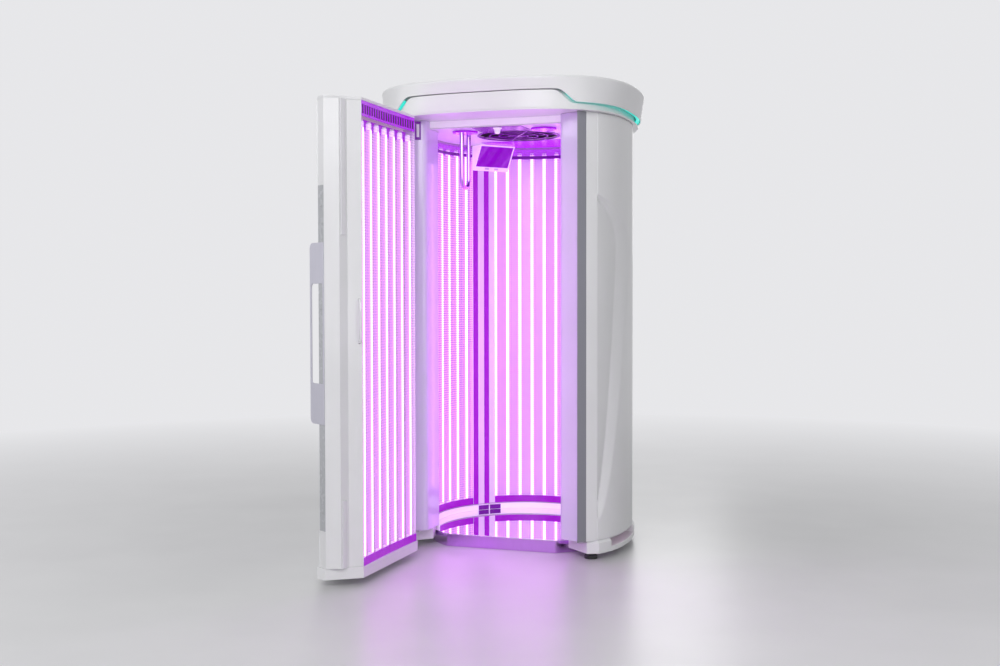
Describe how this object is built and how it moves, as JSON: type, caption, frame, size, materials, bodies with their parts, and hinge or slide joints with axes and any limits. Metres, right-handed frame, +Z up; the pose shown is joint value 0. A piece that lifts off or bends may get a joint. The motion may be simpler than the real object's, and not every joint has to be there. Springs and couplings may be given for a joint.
{
  "type": "stand-up light therapy booth",
  "caption": "Stand-up light therapy booth: oval cabin lined with tubular lamps behind clear acrylic, a lamp-filled swing door, mirror floor, ceiling fan and a stepped canopy.",
  "frame": {"origin": "on the floor, under the middle of the cabin, on the underside of the base tray", "axes": "+Z up; the doorway faces -Y; +X is to the right of someone who looks in through the doorway"},
  "size_m": [1.31, 2.0504, 2.3237],
  "materials": {
    "white_shell": "gloss",
    "white_column": "gloss",
    "grey_aluminium": "satin",
    "lilac_aluminium": "satin",
    "polished_steel": "polished",
    "mirror": "polished",
    "reflector_sheet": "polished",
    "lamp_glass": "satin",
    "acrylic": "gloss",
    "black_plastic": "matte",
    "dark_plastic": "satin",
    "display_glass": "gloss",
    "key_plastic": "matte",
    "teal_diffuser": "satin",
    "steel": "satin",
    "mid_grey_panel": "gloss"
  },
  "bodies": {
    "cabin": {"accent_light": "teal_diffuser", "acrylic_left": "acrylic", "acrylic_rear": "acrylic", "acrylic_right": "acrylic", "ballast_tray": "steel", "band_left": "white_shell", "band_right": "white_shell", "base_tray": "polished_steel", "canopy_cap": "white_shell", "canopy_fascia": "white_shell", "canopy_frame": "steel", "ceiling_cover": "dark_plastic", "ceiling_panel": "white_shell", "column_left": "white_column", "column_right": "white_column", "control_display": "display_glass", "control_housing": "white_shell", "fan_frame": "black_plastic", "fan_guard": "dark_plastic", "floor_mirror": "mirror", "floor_skirting": "white_shell", "hand_grip": "polished_steel", "header_beam": "white_shell", "hinge_lower": "steel", "hinge_upper": "steel", "lamp_bank_left": "lamp_glass", "lamp_bank_rear": "lamp_glass", "lamp_bank_right": "lamp_glass", "levelling_foot_left": "black_plastic", "levelling_foot_right": "black_plastic", "lower_lamp_ring": "steel", "mains_inlet": "black_plastic", "pillar_left": "polished_steel", "pillar_right": "polished_steel", "plinth_left": "white_shell", "plinth_right": "white_shell", "post_left": "grey_aluminium", "post_right": "grey_aluminium", "rear_panel": "white_shell", "reflector": "reflector_sheet", "roof_plate": "white_shell", "side_panel_left": "white_shell", "side_panel_right": "white_shell", "upper_lamp_ring": "steel"},
    "door": {"door_acrylic": "acrylic", "door_base": "white_shell", "door_handle": "lilac_aluminium", "door_lamp_bank": "lamp_glass", "door_panel_lower": "white_shell", "door_panel_middle": "mid_grey_panel", "door_panel_upper": "white_shell", "door_pull": "white_column", "door_reflector": "reflector_sheet", "door_stile_free": "white_column", "door_stile_hinge": "white_column", "door_top": "white_shell", "door_vent_strip": "dark_plastic"},
    "fan": {"fan_rotor": "black_plastic"},
    "start_button": {"start_key": "key_plastic"},
    "stop_button": {"stop_key": "key_plastic"}
  },
  "joints": [
    {"name": "door_hinge", "type": "hinge", "parent": "cabin", "child": "door", "pos_m": [-0.43595, -0.52394, 0.1], "axis": [0, 0, 1], "range_deg": [-10, 90]},
    {"name": "fan_spin", "type": "hinge", "parent": "cabin", "child": "fan", "pos_m": [0, -0.03, 2.18], "axis": [0, 0, 1], "continuous": true},
    {"name": "start_press", "type": "slide", "parent": "cabin", "child": "start_button", "axis": [-0.6558, 0.5568, 0.5098], "range_m": [0, 0.002], "stiffness_N_per_m": 800, "springref_m": -0.001},
    {"name": "stop_press", "type": "slide", "parent": "cabin", "child": "stop_button", "axis": [-0.6558, 0.5568, 0.5098], "range_m": [0, 0.002], "stiffness_N_per_m": 800, "springref_m": -0.001}
  ]
}
